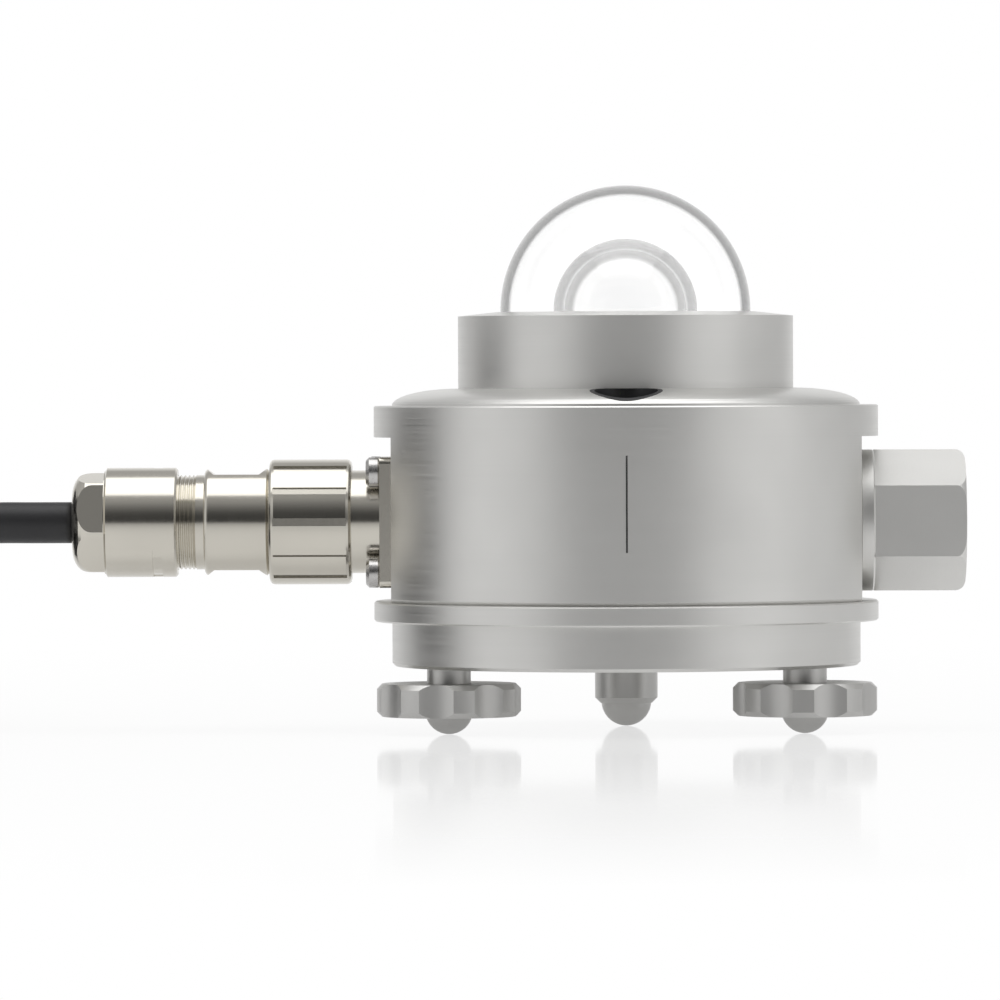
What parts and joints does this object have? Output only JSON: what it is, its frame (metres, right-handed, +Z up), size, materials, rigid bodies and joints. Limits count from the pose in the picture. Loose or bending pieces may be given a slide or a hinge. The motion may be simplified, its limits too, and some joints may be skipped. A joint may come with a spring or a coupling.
{
  "type": "pyranometer",
  "caption": "Double-domed pyranometer on a round metal housing with levelling feet, spirit level, drying cartridge and a screwed plug with its coiled cable.",
  "frame": {"origin": "centre of the base plate's underside, at the mouth of the middle mounting thread", "axes": "+Z up through the domes, +X towards the drying cartridge, -X towards the cable plug, -Y towards the spirit level and the two levelling screws"},
  "size_m": [0.26, 0.1122, 0.0847],
  "materials": {
    "body_metal": "fine turned, clear anodised",
    "foot_metal": "satin",
    "nickel": "polished nickel plate",
    "steel": "stainless",
    "dome_glass": "polished",
    "small_glass": "polished",
    "seal_rubber": "matt",
    "bond": "matt",
    "absorber_black": "matt black coating",
    "ceramic": "matt",
    "heater_foil": "satin foil",
    "level_liquid": "clear liquid",
    "black_plastic": "moulded",
    "board": "lacquered",
    "gold": "gold plate",
    "brass": "plain",
    "wire_cover": "smooth",
    "beads": "matt",
    "cage_plastic": "moulded",
    "indicator": "paper",
    "cable_jacket": "satin",
    "tie_band": "woven"
  },
  "bodies": {
    "instrument": {"base_plate": "body_metal", "base_seal": "seal_rubber", "base_screws": "steel", "housing": "body_metal", "housing_seal": "seal_rubber", "dome_ring": "body_metal", "dome_ring_screws": "steel", "outer_dome": "dome_glass", "outer_dome_bond": "bond", "inner_dome": "dome_glass", "inner_dome_bond": "bond", "sensor_block": "body_metal", "sensor_block_screws": "steel", "thermopile": "ceramic", "absorber_disc": "absorber_black", "heater_band": "heater_foil", "temperature_probe": "steel", "level_cup": "black_plastic", "level_liquid": "level_liquid", "level_glass": "small_glass", "rear_foot": "foot_metal", "terminal_board": "board", "board_posts": "brass", "inner_wires": "wire_cover", "socket_shell": "nickel", "socket_seal": "seal_rubber", "socket_screws": "steel", "socket_insert": "black_plastic", "socket_pins": "gold"},
    "left_foot": {"left_foot_screw": "foot_metal"},
    "left_wheel": {"left_foot_wheel": "foot_metal"},
    "right_foot": {"right_foot_screw": "foot_metal"},
    "right_wheel": {"right_foot_wheel": "foot_metal"},
    "cartridge_ring": {"cartridge_seal": "seal_rubber"},
    "cartridge": {"cartridge_cap": "body_metal", "cartridge_cage": "cage_plastic", "drying_beads": "beads", "cap_window": "small_glass", "humidity_disc": "indicator"},
    "plug": {"plug_barrel": "nickel", "plug_insert": "black_plastic", "ring_clip": "steel", "clamp_nut": "nickel", "gland_seal": "seal_rubber", "clamp_cage": "nickel", "cable_entry": "cable_jacket", "cable_run": "cable_jacket", "cable_coil": "cable_jacket", "coil_ties": "tie_band", "cable_leads": "wire_cover"},
    "coupling": {"coupling_ring": "nickel"}
  },
  "joints": [
    {"name": "left_foot_slide", "type": "slide", "parent": "instrument", "child": "left_foot", "axis": [0, 0, -1], "range_m": [-0.002, 0.004]},
    {"name": "left_wheel_turn", "type": "hinge", "parent": "left_foot", "child": "left_wheel", "pos_m": [-0.02737, -0.0158, -0.005], "axis": [0, 0, -1], "range_deg": [-719, 1439]},
    {"name": "right_foot_slide", "type": "slide", "parent": "instrument", "child": "right_foot", "axis": [0, 0, -1], "range_m": [-0.002, 0.004]},
    {"name": "right_wheel_turn", "type": "hinge", "parent": "right_foot", "child": "right_wheel", "pos_m": [0.02737, -0.0158, -0.005], "axis": [0, 0, -1], "range_deg": [-719, 1439]},
    {"name": "cartridge_slide", "type": "slide", "parent": "instrument", "child": "cartridge_ring", "axis": [1, 0, 0], "range_m": [0, 0.006]},
    {"name": "cartridge_turn", "type": "hinge", "parent": "cartridge_ring", "child": "cartridge", "pos_m": [0.045, 0, 0.0224], "axis": [1, 0, 0], "range_deg": [0, 2159]},
    {"name": "plug_slide", "type": "slide", "parent": "instrument", "child": "plug", "axis": [-1, 0, 0], "range_m": [0, 0.0045]},
    {"name": "coupling_turn", "type": "hinge", "parent": "plug", "child": "coupling", "pos_m": [-0.049, 0, 0.0224], "axis": [-1, 0, 0], "range_deg": [0, 2160]}
  ],
  "couplings": [
    {"joint": "left_foot_slide", "follows": "left_wheel_turn", "m_per_rad": 0.00015915},
    {"joint": "right_foot_slide", "follows": "right_wheel_turn", "m_per_rad": 0.00015915},
    {"joint": "cartridge_slide", "follows": "cartridge_turn", "m_per_rad": 0.00015915}
  ]
}
